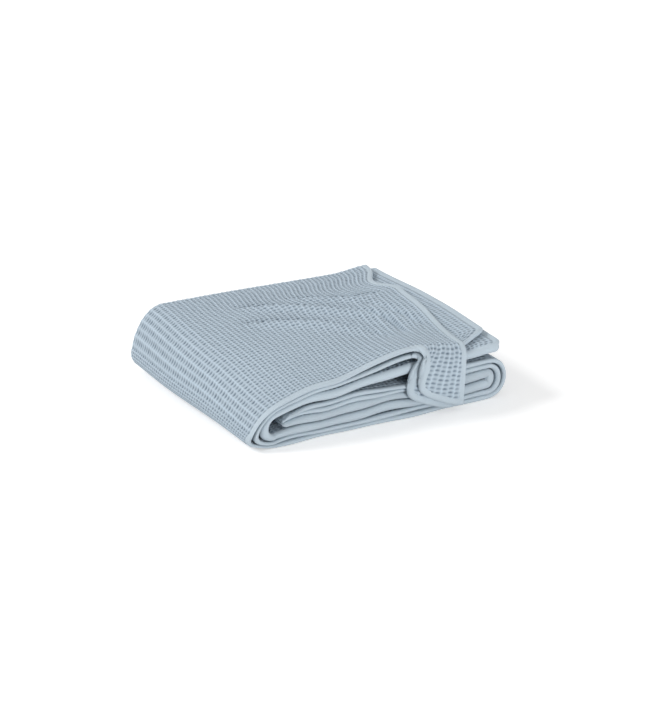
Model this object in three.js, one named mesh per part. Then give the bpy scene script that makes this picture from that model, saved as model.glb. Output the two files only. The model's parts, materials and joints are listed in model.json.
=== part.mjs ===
// A folded throw blanket: one hemmed woven cloth, quartered along its length and then folded in thirds.
// Millimetres, +Z up, +X along the front edge towards the right-hand fold, +Y towards the back.
// Origin: on the resting surface, below the middle of the bounding box.
//
// The cloth is split where it folds, so every flat run, fold and hem is a piece of its own:
//   bottom third  - lies on the surface, layer 1 lowest
//   middle third  - folded back over it through the right-hand fold, layer 1 uppermost
//   top third     - folded over both through the left-hand fold, layer 1 uppermost
// In every third, layers 1 and 2 end at the front in a hem, layers 3 and 4 join there in a fold,
// and at the back layer 1 joins layer 4 around the fold that joins layers 2 and 3.
// The front corner of the top third's two upper layers is drawn over the front edge and hangs down.

import * as THREE from "three";

// ---- driving dimensions ----
const FOLDED_LENGTH = 446; // along X, over both rounded folds
const FOLDED_DEPTH = 372; // along Y, front hems to back folds, without the hanging corner
const LAYER_PITCH = 7.7; // one layer of lofty cloth with the air it traps
const LAYER_GAP = 0.3; // clearance between faces that touch
const HEM_WIDTH = 9; // turned and stitched edge
const MIDDLE_END_INSET = 12; // how far the middle third's end hems stop short of the left-hand fold's centre
const LOWER_END_INSET = 7; // how far the top third's layers 3 and 4 stop short of the right-hand fold
const SECOND_END_INSET = 12; // the same for its layer 2
const UPPER_END_BACK_INSET = 24; // the same for its layer 1, at the back
const CORNER_RIGHT_INSET = 73; // from the right-hand fold to the hanging corner's right side
const CORNER_WIDTH = 86; // how much of the front edge the corner covers
const CORNER_CLEARANCE = 1; // air between the hanging corner and the front of the stack
const CORNER_GROUND_CLEARANCE = 5; // height of its lowest point above the resting surface
const CORNER_SLOPE_WIDTH = 46; // how far its front hem runs sideways while it drops
const CORNER_KNEE_HEIGHT = 44; // height of the knee in that hem
const CORNER_KNEE_SHIFT = 15; // how far the knee lies inwards of the top of the hem
const CORNER_LAYER_STAGGER = 9; // how far the under layer's hem shows beyond the upper layer's
const SWEEP_DEPTH = 114; // the front stretch over which layer 2's end sweeps in to the hanging corner
const ARCH_HEIGHT = 13; // rise of the front edge beside the hanging corner
const ARCH_OFFSET = 5; // how far its crest lies to the left of the hanging corner
const ARCH_HALF_WIDTH = 66;
const ARCH_DEPTH = 130; // how far back the rise fades out
const ARCH_SHARE_BELOW = 0.7; // how much of the rise the layer below follows
const ARC_DIVISIONS = 7; // half the flats of each half-round fold
const BEND_STEPS = 6; // stations along each bend over the front edge

// ---- derived frame ----
const LAYERS_PER_THIRD = 4;
const THIRD_HEIGHT = LAYERS_PER_THIRD * LAYER_PITCH;
const STACK_HEIGHT = 3 * THIRD_HEIGHT;
const CORNER_THICKNESS = 2 * LAYER_PITCH + CORNER_CLEARANCE;
const FRONT_Y = (CORNER_THICKNESS - FOLDED_DEPTH) / 2;
const BACK_Y = FRONT_Y + FOLDED_DEPTH;
const LEFT_FOLD_X = STACK_HEIGHT / 2 - FOLDED_LENGTH / 2;
const RIGHT_FOLD_X = FOLDED_LENGTH / 2 - THIRD_HEIGHT;
const BACK_FOLD_Y = BACK_Y - THIRD_HEIGHT / 2;
const FRONT_FOLD_Y = FRONT_Y + LAYER_PITCH;
const MIDDLE_END_X = LEFT_FOLD_X + MIDDLE_END_INSET;
const LOWER_END_X = FOLDED_LENGTH / 2 - LOWER_END_INSET;
const SECOND_END_X = FOLDED_LENGTH / 2 - SECOND_END_INSET;
const UPPER_END_BACK_X = FOLDED_LENGTH / 2 - UPPER_END_BACK_INSET;
const SWEEP_START_Y = FRONT_Y + SWEEP_DEPTH;
const CORNER_RIGHT_X = FOLDED_LENGTH / 2 - CORNER_RIGHT_INSET;
const CORNER_LEFT_X = CORNER_RIGHT_X - CORNER_WIDTH;
const ARCH_CENTRE_X = CORNER_LEFT_X - ARCH_OFFSET;
const CORNER_HINGE_Z = STACK_HEIGHT - 2 * LAYER_PITCH;
const CORNER_BACK_Y = FRONT_Y - CORNER_CLEARANCE;

const CLOTH_COLOUR = 0xabb9c4;
const HEM_COLOUR = 0xb9c6d0;
const CLOTH_ROUGHNESS = 0.95;

function clothMaterial(colour) {
  return new THREE.MeshStandardMaterial({ color: colour, roughness: CLOTH_ROUGHNESS, metalness: 0 });
}

function piece(name, geometry, colour = CLOTH_COLOUR) {
  const mesh = new THREE.Mesh(geometry, clothMaterial(colour));
  mesh.name = name;
  return mesh;
}

// ---- shapes ----

// A half-round band of cloth about (u, v), from angle start, counter-clockwise by half a turn.
function halfRoundShape(u, v, innerRadius, outerRadius, start) {
  const shape = new THREE.Shape();
  shape.absarc(u, v, outerRadius, start, start + Math.PI, false);
  shape.absarc(u, v, innerRadius, start + Math.PI, start, true);
  shape.closePath();
  return shape;
}

function outlineShape(points) {
  return new THREE.Shape(points.map(([u, v]) => new THREE.Vector2(u, v)));
}

// Extrudes a shape drawn in the X-Z plane along Y.
function alongY(shape, yFrom, yTo) {
  const geometry = new THREE.ExtrudeGeometry(shape, {
    depth: yTo - yFrom,
    bevelEnabled: false,
    curveSegments: ARC_DIVISIONS,
  });
  geometry.rotateX(Math.PI / 2);
  geometry.translate(0, yTo, 0);
  return geometry;
}

// Extrudes a shape drawn in the Y-Z plane along X.
function alongX(shape, xFrom, xTo, steps = 1) {
  const geometry = new THREE.ExtrudeGeometry(shape, {
    depth: xTo - xFrom,
    steps,
    bevelEnabled: false,
    curveSegments: ARC_DIVISIONS,
  });
  const turn = new THREE.Matrix4().makeBasis(
    new THREE.Vector3(0, 1, 0),
    new THREE.Vector3(0, 0, 1),
    new THREE.Vector3(1, 0, 0),
  );
  geometry.applyMatrix4(turn);
  geometry.translate(xFrom, 0, 0);
  return geometry;
}

function flatSlab(xFrom, xTo, yFrom, yTo, zFrom, zTo) {
  const geometry = new THREE.BoxGeometry(xTo - xFrom, yTo - yFrom, zTo - zFrom);
  geometry.translate((xFrom + xTo) / 2, (yFrom + yTo) / 2, (zFrom + zTo) / 2);
  return geometry;
}

// A slab whose grid lines are given: columnX(i, y) places each column, liftAt(x, y) raises both faces.
function liftedSlab(columnCount, columnX, rows, zFrom, zTo, liftAt) {
  const rowCount = rows.length - 1;
  const geometry = new THREE.BoxGeometry(columnCount, rowCount, 1, columnCount, rowCount, 1);
  const position = geometry.attributes.position;
  for (let i = 0; i < position.count; i++) {
    const column = Math.round(position.getX(i) + columnCount / 2);
    const row = Math.round(position.getY(i) + rowCount / 2);
    const y = rows[row];
    const x = columnX(column, y);
    const z = position.getZ(i) > 0 ? zTo : zFrom;
    position.setXYZ(i, x, y, z + liftAt(x, y));
  }
  return geometry;
}

function smoothFade(t) {
  const held = THREE.MathUtils.clamp(t, 0, 1);
  return Math.cos((held * Math.PI) / 2) ** 2;
}

function archLift(x, y) {
  const across = smoothFade(Math.abs(x - ARCH_CENTRE_X) / ARCH_HALF_WIDTH);
  const back = smoothFade((y - FRONT_Y) / ARCH_DEPTH);
  return ARCH_HEIGHT * across * back;
}

// ---- the upper two layers of the top third ----

// Column positions shared by both upper layers, from the left-hand fold to the hanging corner's right side.
const SHARED_COLUMNS = [LEFT_FOLD_X + LAYER_GAP, ARCH_CENTRE_X - ARCH_HALF_WIDTH];
for (const share of [-0.66, -0.33, 0, 0.33, 0.66, 1]) {
  SHARED_COLUMNS.push(ARCH_CENTRE_X + share * ARCH_HALF_WIDTH);
}

const ARCH_ROWS = [0, 0.2, 0.4, 0.6, 0.8, 1].map((share) => FRONT_Y + share * ARCH_DEPTH);

// The upper layer's end runs straight from the back to the hanging corner's right side.
function upperEndX(y) {
  const share = (y - FRONT_Y) / (BACK_FOLD_Y - FRONT_Y);
  return THREE.MathUtils.lerp(CORNER_RIGHT_X, UPPER_END_BACK_X, share);
}

// The second layer's end is straight at the back, and sweeps in to the corner in front.
function secondEndX(y) {
  const share = THREE.MathUtils.clamp((SWEEP_START_Y - y) / (SWEEP_START_Y - FRONT_Y), 0, 1);
  return THREE.MathUtils.lerp(SECOND_END_X, CORNER_RIGHT_X, share);
}

function upperLayerPieces(layer, slot, endX, liftShare) {
  const zFrom = slot * LAYER_PITCH + LAYER_GAP;
  const zTo = (slot + 1) * LAYER_PITCH;
  const lift = (x, y) => liftShare * archLift(x, y);
  const panelRows = [...ARCH_ROWS, SWEEP_START_Y, BACK_FOLD_Y - LAYER_GAP].sort((a, b) => a - b);
  panelRows[0] = FRONT_Y + HEM_WIDTH + LAYER_GAP;
  const frontColumns = SHARED_COLUMNS.filter((x) => x < CORNER_LEFT_X - LAYER_GAP);
  frontColumns.push(CORNER_LEFT_X - LAYER_GAP);
  const columns = [...SHARED_COLUMNS];
  const panelColumn = (i, y) => (i < columns.length ? columns[i] : endX(y) - HEM_WIDTH - LAYER_GAP);
  const hemColumn = (i, y) => endX(y) - (1 - i) * HEM_WIDTH;
  const hemRows = [FRONT_Y, FRONT_Y + HEM_WIDTH];
  const panel = liftedSlab(columns.length, panelColumn, panelRows, zFrom, zTo, lift);
  const endHemBand = liftedSlab(1, hemColumn, panelRows, zFrom, zTo, lift);
  const frontHemBand = liftedSlab(frontColumns.length - 1, (i) => frontColumns[i], hemRows, zFrom, zTo, lift);
  return [
    piece(`top_third_layer_${layer}`, panel),
    piece(`top_third_end_hem_layer_${layer}`, endHemBand, HEM_COLOUR),
    piece(`top_third_front_hem_layer_${layer}`, frontHemBand, HEM_COLOUR),
  ];
}

// ---- plain layers, front and back folds of one third ----

function plainLayer(third, layer, slot, xFrom, xTo) {
  const zFrom = slot * LAYER_PITCH + LAYER_GAP * Math.sign(slot);
  const zTo = (slot + 1) * LAYER_PITCH;
  const isHemmed = layer <= 2;
  const frontY = isHemmed ? FRONT_Y + HEM_WIDTH + LAYER_GAP : FRONT_FOLD_Y + LAYER_GAP;
  const pieces = [
    piece(`${third}_layer_${layer}`, flatSlab(xFrom, xTo, frontY, BACK_FOLD_Y - LAYER_GAP, zFrom, zTo)),
  ];
  if (isHemmed) {
    const hem = flatSlab(xFrom, xTo, FRONT_Y, FRONT_Y + HEM_WIDTH, zFrom, zTo);
    pieces.push(piece(`${third}_front_hem_layer_${layer}`, hem, HEM_COLOUR));
  }
  return pieces;
}

function endHem(third, layer, slot, xFrom) {
  const zFrom = slot * LAYER_PITCH + LAYER_GAP;
  const zTo = (slot + 1) * LAYER_PITCH;
  const frontY = layer <= 2 ? FRONT_Y : FRONT_FOLD_Y + LAYER_GAP;
  const geometry = flatSlab(xFrom, xFrom + HEM_WIDTH, frontY, BACK_FOLD_Y - LAYER_GAP, zFrom, zTo);
  return piece(`${third}_end_hem_layer_${layer}`, geometry, HEM_COLOUR);
}

function backFold(name, xFrom, xTo, innerPitches, outerPitches) {
  const inner = innerPitches * LAYER_PITCH + LAYER_GAP / 2;
  const outer = outerPitches * LAYER_PITCH - LAYER_GAP / 2;
  const shape = halfRoundShape(BACK_FOLD_Y, THIRD_HEIGHT / 2, inner, outer, -Math.PI / 2);
  return piece(name, alongX(shape, xFrom, xTo));
}

function frontFold(name, xFrom, xTo, centreSlot) {
  const outer = LAYER_PITCH - LAYER_GAP / 2;
  const shape = halfRoundShape(FRONT_FOLD_Y, centreSlot * LAYER_PITCH, LAYER_GAP / 2, outer, Math.PI / 2);
  return piece(name, alongX(shape, xFrom, xTo));
}

// ---- the three thirds ----

function bottomThird() {
  const group = new THREE.Group();
  const xFrom = LEFT_FOLD_X + LAYER_GAP;
  const xTo = RIGHT_FOLD_X - LAYER_GAP;
  for (let slot = 0; slot < LAYERS_PER_THIRD; slot++) {
    group.add(...plainLayer("bottom_third", slot + 1, slot, xFrom, xTo));
  }
  group.add(frontFold("bottom_third_front_fold", xFrom, xTo, 3));
  group.add(backFold("bottom_third_back_fold_outer", xFrom, xTo, 1, 2));
  group.add(backFold("bottom_third_back_fold_inner", xFrom, xTo, 0, 1));
  return group;
}

function middleThird() {
  const group = new THREE.Group();
  group.position.z = THIRD_HEIGHT;
  const xFrom = MIDDLE_END_X + HEM_WIDTH + LAYER_GAP;
  const xTo = RIGHT_FOLD_X - LAYER_GAP;
  for (let slot = 0; slot < LAYERS_PER_THIRD; slot++) {
    const layer = LAYERS_PER_THIRD - slot;
    group.add(...plainLayer("middle_third", layer, slot, xFrom, xTo));
    group.add(endHem("middle_third", layer, slot, MIDDLE_END_X));
  }
  group.add(frontFold("middle_third_front_fold", xFrom, xTo, 1));
  group.add(backFold("middle_third_back_fold_outer", MIDDLE_END_X, xTo, 1, 2));
  group.add(backFold("middle_third_back_fold_inner", MIDDLE_END_X, xTo, 0, 1));
  return group;
}

function topThird() {
  const group = new THREE.Group();
  group.position.z = 2 * THIRD_HEIGHT;
  const xFrom = LEFT_FOLD_X + LAYER_GAP;
  const lowerHemX = LOWER_END_X - HEM_WIDTH;
  for (const layer of [4, 3]) {
    const slot = LAYERS_PER_THIRD - layer;
    group.add(...plainLayer("top_third", layer, slot, xFrom, lowerHemX - LAYER_GAP));
    group.add(endHem("top_third", layer, slot, lowerHemX));
  }
  group.add(...upperLayerPieces(2, 2, secondEndX, ARCH_SHARE_BELOW));
  group.add(...upperLayerPieces(1, 3, upperEndX, 1));
  group.add(frontFold("top_third_front_fold", xFrom, lowerHemX - LAYER_GAP, 1));
  group.add(backFold("top_third_back_fold_outer", xFrom, UPPER_END_BACK_X, 1, 2));
  group.add(backFold("top_third_back_fold_inner", xFrom, SECOND_END_X, 0, 1));
  return group;
}

// ---- the two end folds, one band for each layer ----

// They rest on the surface, so the outermost radius is the height of the fold's centre.
function nestedFolds(name, centreX, centreZ, start) {
  const group = new THREE.Group();
  for (let layer = 1; layer <= LAYERS_PER_THIRD; layer++) {
    const outer = centreZ - (layer - 1) * LAYER_PITCH - LAYER_GAP / 2;
    const inner = centreZ - layer * LAYER_PITCH + LAYER_GAP / 2;
    const shape = halfRoundShape(centreX, centreZ, inner, outer, start);
    group.add(piece(`${name}_layer_${layer}`, alongY(shape, FRONT_Y, BACK_Y - LAYER_PITCH)));
  }
  return group;
}

// ---- the hanging front corner ----

// The corner's outline in the X-Z plane: its front hem drops from the arch, turns at a knee and runs
// to the lowest point; the right side rises straight back to the edge of the stack.
function cornerHemLine(shift) {
  const left = CORNER_LEFT_X - shift;
  return [
    [left, CORNER_HINGE_Z],
    [left + CORNER_KNEE_SHIFT, CORNER_KNEE_HEIGHT],
    [left + CORNER_SLOPE_WIDTH, CORNER_GROUND_CLEARANCE + LAYER_GAP],
    [CORNER_RIGHT_X, CORNER_GROUND_CLEARANCE],
  ];
}

// The same line moved right and up by a distance, held within the corner's right side and its hinge.
function insetLine(line, distance) {
  return line.map(([x, z]) => [
    Math.min(x + distance, CORNER_RIGHT_X),
    Math.min(z + distance, CORNER_HINGE_Z),
  ]);
}

function cornerPieces(layer, slot, shift) {
  const yTo = CORNER_BACK_Y - slot * LAYER_PITCH;
  const yFrom = yTo - LAYER_PITCH + LAYER_GAP;
  const edge = cornerHemLine(shift);
  const hemInside = insetLine(edge, HEM_WIDTH);
  const panelEdge = insetLine(edge, HEM_WIDTH + LAYER_GAP);
  const hem = outlineShape([...edge, ...hemInside.reverse()]);
  const panel = outlineShape([...panelEdge, [CORNER_RIGHT_X, CORNER_HINGE_Z]]);
  return [
    piece(`hanging_corner_layer_${layer}`, alongY(panel, yFrom, yTo)),
    piece(`hanging_corner_hem_layer_${layer}`, alongY(hem, yFrom, yTo), HEM_COLOUR),
  ];
}

// The bends by which the corner goes over the front edge: a short flat run where the hem would be,
// then a quarter round down to the hanging panel. They rise with the arch, fully on top and not at
// all where they meet the panel.
function cornerBend(layer, innerPitches, liftShare) {
  const inner = innerPitches * LAYER_PITCH + LAYER_GAP / 2;
  const outer = (innerPitches + 1) * LAYER_PITCH - LAYER_GAP;
  const y = FRONT_Y - LAYER_GAP;
  const z = CORNER_HINGE_Z + LAYER_GAP;
  const shape = new THREE.Shape();
  shape.moveTo(FRONT_Y + HEM_WIDTH, z + outer);
  shape.absarc(y, z, outer, Math.PI / 2, Math.PI, false);
  shape.absarc(y, z, inner, Math.PI, Math.PI / 2, true);
  shape.lineTo(FRONT_Y + HEM_WIDTH, z + inner);
  shape.closePath();
  const geometry = alongX(shape, CORNER_LEFT_X, CORNER_RIGHT_X, BEND_STEPS);
  const position = geometry.attributes.position;
  for (let i = 0; i < position.count; i++) {
    const angle = Math.atan2(position.getZ(i) - z, Math.max(y - position.getY(i), 0));
    const lift = archLift(position.getX(i), position.getY(i)) * (angle / (Math.PI / 2));
    position.setZ(i, position.getZ(i) + liftShare * lift);
  }
  return piece(`hanging_corner_bend_layer_${layer}`, geometry);
}

function hangingCorner() {
  const group = new THREE.Group();
  group.add(...cornerPieces(2, 0, CORNER_LAYER_STAGGER));
  group.add(...cornerPieces(1, 1, 0));
  group.add(cornerBend(2, 0, ARCH_SHARE_BELOW));
  group.add(cornerBend(1, 1, 1));
  return group;
}

const blanket = new THREE.Group();
blanket.add(bottomThird());
blanket.add(middleThird());
blanket.add(topThird());
blanket.add(nestedFolds("left_fold", LEFT_FOLD_X, STACK_HEIGHT / 2, Math.PI / 2));
blanket.add(nestedFolds("right_fold", RIGHT_FOLD_X, THIRD_HEIGHT, -Math.PI / 2));
blanket.add(hangingCorner());

export default blanket;
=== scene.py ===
"""A folded throw blanket: one hemmed cloth in a ladder weave, quartered and then folded in thirds."""
import functools
import json
import math

import bpy
import numpy as np
from bpy.props import FloatProperty, FloatVectorProperty, PointerProperty
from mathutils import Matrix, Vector


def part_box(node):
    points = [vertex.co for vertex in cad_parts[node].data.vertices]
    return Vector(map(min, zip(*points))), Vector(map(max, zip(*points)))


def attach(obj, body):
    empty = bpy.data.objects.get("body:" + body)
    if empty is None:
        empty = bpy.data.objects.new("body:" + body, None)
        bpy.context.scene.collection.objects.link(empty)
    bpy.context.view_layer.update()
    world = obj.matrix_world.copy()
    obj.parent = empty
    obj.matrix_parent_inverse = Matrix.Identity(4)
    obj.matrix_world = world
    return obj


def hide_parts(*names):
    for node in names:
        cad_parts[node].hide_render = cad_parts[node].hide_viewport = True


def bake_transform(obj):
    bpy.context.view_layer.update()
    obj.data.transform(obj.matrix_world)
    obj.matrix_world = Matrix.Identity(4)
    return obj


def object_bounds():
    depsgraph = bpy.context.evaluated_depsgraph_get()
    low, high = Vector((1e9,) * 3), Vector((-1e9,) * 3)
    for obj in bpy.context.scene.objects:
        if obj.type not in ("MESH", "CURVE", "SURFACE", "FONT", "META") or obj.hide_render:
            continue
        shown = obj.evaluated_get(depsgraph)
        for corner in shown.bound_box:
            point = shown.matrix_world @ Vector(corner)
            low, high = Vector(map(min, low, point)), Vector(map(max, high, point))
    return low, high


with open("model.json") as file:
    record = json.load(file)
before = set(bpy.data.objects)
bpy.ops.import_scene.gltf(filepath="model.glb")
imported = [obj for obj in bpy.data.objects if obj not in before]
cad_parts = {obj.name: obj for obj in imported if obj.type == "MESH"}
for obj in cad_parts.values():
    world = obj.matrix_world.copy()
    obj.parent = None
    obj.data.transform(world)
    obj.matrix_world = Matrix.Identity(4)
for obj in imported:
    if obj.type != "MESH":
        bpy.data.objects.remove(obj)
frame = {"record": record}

bl_info = {
    "name": "Folded throw blanket",
    "version": (1, 0, 0),
    "blender": (4, 5, 0),
    "location": "View3D > Sidebar > Blanket",
    "description": "Builds a folded throw blanket around its packed frame",
    "category": "Add Mesh",
}

MM = 0.001
CAD_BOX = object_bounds()


# ---- what the frame gives, in millimetres ----

def node_side(name, end, axis):
    """One side of a node's box: the low end, 0, or the high end, 1, along X, Y or Z."""
    return float(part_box(name)[end][axis] / MM)


def joint_place(name):
    joints = frame["record"]["behaviour"]["joints"]
    return next([v / MM for v in joint["pos_m"]] for joint in joints if joint["name"] == name)


STACK = 12 * node_side("bottom_third_layer_1", 1, 2)
LEFT_X = joint_place("top_third_open")[0]
RIGHT_X = node_side("right_fold_layer_1", 0, 0)
FRONT = node_side("bottom_third_front_hem_layer_1", 0, 1)
BACK = node_side("bottom_third_back_fold_outer", 1, 1)
DEPTH = BACK - FRONT
MIDDLE_END = node_side("middle_third_end_hem_layer_1", 0, 0)
UPPER_END_BACK = node_side("top_third_end_hem_layer_1", 1, 0)
SECOND_END = node_side("top_third_end_hem_layer_2", 1, 0)
LOWER_END = node_side("top_third_end_hem_layer_3", 1, 0)
CORNER_LEFT = node_side("hanging_corner_bend_layer_1", 0, 0)
CORNER_RIGHT = node_side("hanging_corner_bend_layer_1", 1, 0)
LEFT_SIDE = node_side("left_fold_layer_1", 0, 0)


def end_reference(layer):
    """X of the free end of the top third's layer where it reaches furthest."""
    return {1: UPPER_END_BACK, 2: SECOND_END}.get(layer, LOWER_END)


# ---- how the cloth lies ----

LAYER_GAPS = (1.3, 1.9, 0.5)    # air between the layers of a third, from layer 1 to layer 4
OVER_MIDDLE = 2.6               # least air between the middle and the top third
OVER_BOTTOM = 1.6


class Bundle:
    """The four layers of one third, and how the three thirds stack. Distances in millimetres."""

    def __init__(self, cloth):
        self.cloth = cloth
        self.hem = cloth.hem_width / MM
        self.thick = cloth.thickness / MM
        self.height = 4 * self.thick + sum(LAYER_GAPS)
        spare = STACK - 3 * self.height - OVER_MIDDLE - OVER_BOTTOM
        self.bottom = self.height / 2
        self.middle = 1.5 * self.height + OVER_BOTTOM + spare / 2
        self.top = STACK - self.height / 2
        self.layer = []
        reach = self.height / 2
        for gap in (*LAYER_GAPS, 0.0):
            self.layer.append(reach - self.thick / 2)
            reach -= self.thick + gap
        self.left_centre = (self.top + self.bottom) / 2
        self.left_radius = (self.top - self.bottom) / 2
        self.right_centre = (self.middle + self.bottom) / 2
        self.right_radius = (self.middle - self.bottom) / 2
        self.back_centre = BACK - self.height / 2


def smooth(t):
    t = np.clip(t, 0.0, 1.0)
    return t * t * (3 - 2 * t)


def ramp(value, start, length):
    """0 up to start, rising to 1 over the length."""
    return smooth((value - start) / length)


def hump(value, middle, half_width):
    """1 in the middle, falling to 0 half a width away on both sides."""
    return np.cos(np.clip(np.abs((value - middle) / half_width), 0.0, 1.0) * math.pi / 2) ** 2


def mix(a, b, t):
    return a + (b - a) * t


# Stations along the section: 0 to 1 the top third from its free end, 1 to 2 the left-hand fold,
# 2 to 3 the bottom third, 3 to 4 the right-hand fold, 4 to 5 the middle third to its free end.
TOP, LEFT_FOLD, BOTTOM, RIGHT_FOLD, MIDDLE, END = range(6)

CRESCENT = 4.0                  # how far layer 2 stands off layer 1 in the right-hand fold
LEFT_GAPS = (3.0, 3.5, 1.0)     # how far each layer of the left-hand fold stands off the next one out
END_ROUNDING = 13.0             # how far the outer layers stop short at the middle third's free end
END_ROUNDNESS = 0.93            # 1 for a half round end
END_TAPER = 0.10                # how much thinner that end is


def section(bundle, station, offset, end_x):
    """X and Z of points that lie offset outwards of the bundle's middle, before it is settled."""
    leg = np.clip(np.floor(station), TOP, MIDDLE).astype(int)
    share = station - leg
    angle = share * math.pi
    left = bundle.left_radius + offset
    right = bundle.right_radius + offset
    out = np.clip(2 * offset / bundle.height, -1, 1)
    middle_end = MIDDLE_END + END_ROUNDING * (1 - np.sqrt(1 - END_ROUNDNESS * out ** 2))
    within = [layer - bundle.thick / 2 - offset for layer in bundle.layer]
    crescent = CRESCENT * smooth(within[0] / LAYER_GAPS[0])
    loose = sum(gap * smooth(inside / 0.4) for gap, inside in zip(LEFT_GAPS, within))
    taper = np.where(leg == MIDDLE, 1 - END_TAPER * ramp(share, 0.9, 0.1), 1.0)
    x = np.choose(leg, [
        mix(end_x, LEFT_X, share),
        LEFT_X - (left - loose) * np.sin(angle),
        mix(LEFT_X, RIGHT_X, share),
        RIGHT_X + (right - crescent) * np.sin(angle),
        mix(RIGHT_X, middle_end, share),
    ])
    z = np.choose(leg, [
        bundle.top + offset,
        bundle.left_centre + left * np.cos(angle),
        bundle.bottom - offset,
        bundle.right_centre - right * np.cos(angle),
        bundle.middle + offset * taper,
    ])
    return x, z


def leg_lengths(bundle, offset, end_x):
    """The length of a layer's cloth on each leg of the section."""
    return [
        end_x - LEFT_X,
        math.pi * (bundle.left_radius + offset),
        RIGHT_X - LEFT_X,
        math.pi * (bundle.right_radius + offset),
        RIGHT_X - MIDDLE_END,
    ]


def stations(bundle, offset, end_x, first, last, step):
    """Stations from leg first to leg last, about step apart in the cloth, closer at a free end."""
    lengths = leg_lengths(bundle, offset, end_x)
    found = [np.array([float(first)])]
    for leg in range(first, last):
        count = max(2, round(lengths[leg] / step))
        found.append(leg + np.arange(1, count + 1) / count)
    values = np.concatenate(found)
    rounding = edge_steps(bundle.thick / 2)
    if first == TOP:
        close = first + rounding / lengths[first]
        values = np.concatenate([close, values[values > close[-1] + 0.4 * step / lengths[first]]])
    if last == END:
        close = last - rounding[::-1] / lengths[last - 1]
        values = np.concatenate([values[values < close[0] - 0.4 * step / lengths[last - 1]], close])
    return values


def edge_steps(radius, count=5):
    """Distances from a rounded edge at which its section is drawn."""
    return radius * (1 - np.cos(np.linspace(0, math.pi / 2, count + 1)))


def edge_share(distance, radius):
    """How much of the cloth's full thickness there is at a distance from its rounded edge."""
    inside = np.clip(distance / radius, 0.0, 1.0)
    return np.sqrt(np.clip(1 - (1 - inside) ** 2, 0.0036, 1.0))


# ---- how the stack has settled: each field is worked out from X and Y in millimetres ----

FRONT_SHIFT = 17.0      # how far the left-hand fold is drawn in at the front
FRONT_RUN = 125.0       # length of the front's long shoulder
FRONT_CREST = 76.0      # its height
FRONT_RISE = 0.04       # and its slope beyond the shoulder
FRONT_LEAST = 0.36      # how flat the fold is pressed at the front
BACK_RUN = 58.0
BACK_LEAST = 0.5
LOFT = 0.115            # how much loftier the stack lies than its least height
LOFT_FALL = 0.035       # and how much less of that there is at the right
RIGHT_PUFF = 0.06       # extra loft at the front of the right
RIGHT_LIFT = 6.0        # how far the right-hand end of the top third stands off the middle third
ARCH_LIFT = 21.0        # rise of the front edge beside the hanging corner
ARCH_LEFT = 134.0       # how far to the left it starts
ARCH_RIGHT = 120.0
ARCH_BACK = 150.0       # how far back it fades out
ARCH_CREST = CORNER_LEFT - 5.0
MIDDLE_DIP = 4.5        # how far the middle third dips below the arch
RIGHT_REACH = 6.0       # how far the cloth's loft carries it past the frame at the right
CREASE_ROOM = 3.0       # how much air there is under the creases
LIFTS = (1.0, 0.84, 0.50, 0.37)         # how much of the arch each layer of the top third takes
CREASED = (0.0, 0.35, 0.5, 0.8, 1.0)    # how much of the creases the stack and its layers 4 to 1 take


def left_shift(x, y):
    """How far the cloth is drawn in at the front of the left-hand fold."""
    return FRONT_SHIFT * (1 - ramp(x, LEFT_SIDE, 200.0)) * (1 - ramp(y, FRONT, 0.75 * DEPTH))


def shoulder(distance, run, crest, rise):
    """The outline's height at a distance from the left-hand side: a rounded rise, then a slope."""
    inside = np.clip(distance / run, 0.0, 1.0)
    return crest * np.sqrt(1 - (1 - inside) ** 2) + rise * distance


def settle(x, y):
    """The share of its unsettled height that the stack has at a place."""
    radius = STACK / 2
    out = np.clip(LEFT_X - x, 0.0, radius)
    outline = np.where(x < LEFT_X, radius + np.sqrt(radius ** 2 - out ** 2), STACK)
    distance = np.clip(x - LEFT_SIDE, 0.0, None)
    front = shoulder(distance, FRONT_RUN, FRONT_CREST, FRONT_RISE)
    rear = shoulder(distance, BACK_RUN, STACK, 0.0)
    front_share = np.clip(front / outline, FRONT_LEAST, 1.0)
    rear_share = np.clip(rear / outline, BACK_LEAST, 1.0)
    puff = RIGHT_PUFF * ramp(x, 60.0, 110.0) * (1 - ramp(y, 20.0, 150.0))
    loft = (LOFT - LOFT_FALL * ramp(x, -100.0, 250.0)) * ramp(y, FRONT, 160.0)
    return mix(front_share, rear_share, ramp(y, FRONT, DEPTH)) + puff + loft


def arch(x, y):
    """How far the front edge of the uppermost layer is raised beside the hanging corner."""
    across = hump(x, ARCH_CREST, np.where(x < ARCH_CREST, ARCH_LEFT, ARCH_RIGHT))
    return ARCH_LIFT * across * hump(y, FRONT, ARCH_BACK)


def along_line(x, y, points):
    """Distance of each place from a line of points, signed + behind it, and how far along it lies."""
    best = np.full(np.shape(x), 1e9)
    signed = np.zeros(np.shape(x))
    at = np.zeros(np.shape(x))
    pts = [np.array(p, float) for p in points]
    lengths = [float(np.linalg.norm(b - a)) for a, b in zip(pts, pts[1:])]
    start = 0.0
    for a, b, length in zip(pts, pts[1:], lengths):
        d = (b - a) / length
        t = np.clip((x - a[0]) * d[0] + (y - a[1]) * d[1], 0.0, length)
        dx = x - a[0] - t * d[0]
        dy = y - a[1] - t * d[1]
        far = np.hypot(dx, dy)
        nearer = far < best
        best = np.where(nearer, far, best)
        signed = np.where(nearer, far * np.sign(d[0] * dy - d[1] * dx), signed)
        at = np.where(nearer, (start + t) / sum(lengths), at)
        start += length
    return signed, at


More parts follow.
